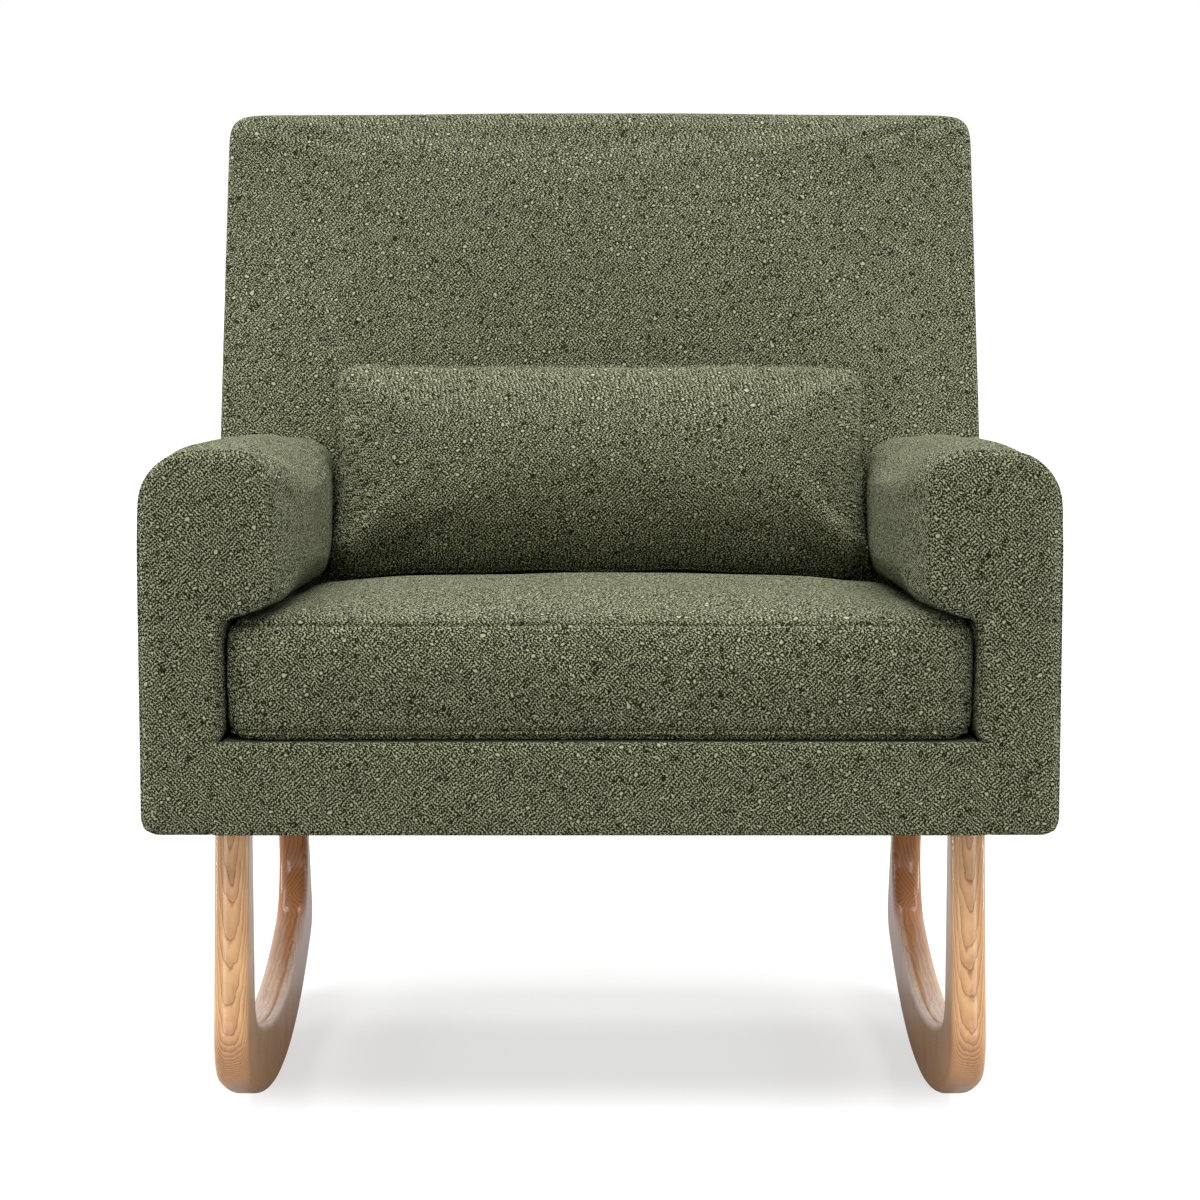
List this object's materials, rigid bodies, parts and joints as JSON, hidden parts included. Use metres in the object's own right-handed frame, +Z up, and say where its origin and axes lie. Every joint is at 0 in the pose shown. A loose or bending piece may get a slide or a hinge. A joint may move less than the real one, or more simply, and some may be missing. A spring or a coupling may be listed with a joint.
{
  "type": "upholstered rocking chair",
  "caption": "Upholstered rocking armchair with a raked back, padded arms, a sprung seat, a loose seat cushion and a lumbar pillow, carried on two closed bent wood rocker loops.",
  "frame": {"origin": "on the floor, midway between the two runners, under the centre of their arcs", "axes": "+Z up, -Y the way the chair faces, +X to the right of a viewer who faces the chair"},
  "size_m": [0.838, 0.8241, 0.989],
  "materials": {
    "varnished_ash": "clear gloss varnish over open grain",
    "dowel_wood": "bare",
    "frame_wood": "bare plywood and softwood",
    "zinc_steel": "zinc plated",
    "spring_steel": "oiled wire",
    "loop_fabric": "nubby woven loops, matt",
    "lining_cloth": "thin nonwoven",
    "webbing": "woven elastic strap",
    "foam": "open cell foam",
    "zip_plastic": "moulded teeth on tape"
  },
  "bodies": {
    "chair": {"left_front_leg": "varnished_ash", "right_front_leg": "varnished_ash", "left_runner": "varnished_ash", "right_runner": "varnished_ash", "left_rear_leg": "varnished_ash", "right_rear_leg": "varnished_ash", "leg_dowels": "dowel_wood", "leg_bolts": "zinc_steel", "leg_washers": "zinc_steel", "leg_tee_nuts": "zinc_steel", "front_rail": "frame_wood", "rear_rail": "frame_wood", "left_side_rail": "frame_wood", "right_side_rail": "frame_wood", "leg_blocks": "frame_wood", "block_screws": "zinc_steel", "rail_screws": "zinc_steel", "seat_springs": "spring_steel", "spring_clips": "spring_steel", "spring_tie_rods": "spring_steel", "seat_deck": "lining_cloth", "dust_cover": "lining_cloth", "front_apron": "loop_fabric", "left_arm_front_board": "frame_wood", "right_arm_front_board": "frame_wood", "left_arm_rear_board": "frame_wood", "right_arm_rear_board": "frame_wood", "left_arm_top_board": "frame_wood", "right_arm_top_board": "frame_wood", "left_arm_side_board": "frame_wood", "right_arm_side_board": "frame_wood", "left_arm_padding": "foam", "right_arm_padding": "foam", "left_arm_cover": "loop_fabric", "right_arm_cover": "loop_fabric", "arm_bolts": "zinc_steel", "left_back_post": "frame_wood", "right_back_post": "frame_wood", "back_top_rail": "frame_wood", "back_middle_rail": "frame_wood", "back_lower_rail": "frame_wood", "back_webbing": "webbing", "back_bolts": "zinc_steel", "back_padding": "foam", "back_cover": "loop_fabric", "outside_back_panel": "loop_fabric"},
    "seat_cushion": {"seat_cushion_cover": "loop_fabric", "seat_cushion_core": "foam", "seat_cushion_zip": "zip_plastic"},
    "lumbar_pillow": {"lumbar_pillow_cover": "loop_fabric", "lumbar_pillow_fill": "foam", "lumbar_pillow_zip": "zip_plastic"}
  },
  "joints": [
    {"name": "seat_cushion_slide", "type": "slide", "parent": "chair", "child": "seat_cushion", "axis": [0, -0.9986, 0.0523], "range_m": [0, 0.6]},
    {"name": "lumbar_pillow_lift", "type": "slide", "parent": "chair", "child": "lumbar_pillow", "axis": [0, -0.9063, 0.4226], "range_m": [0, 0.5]}
  ]
}
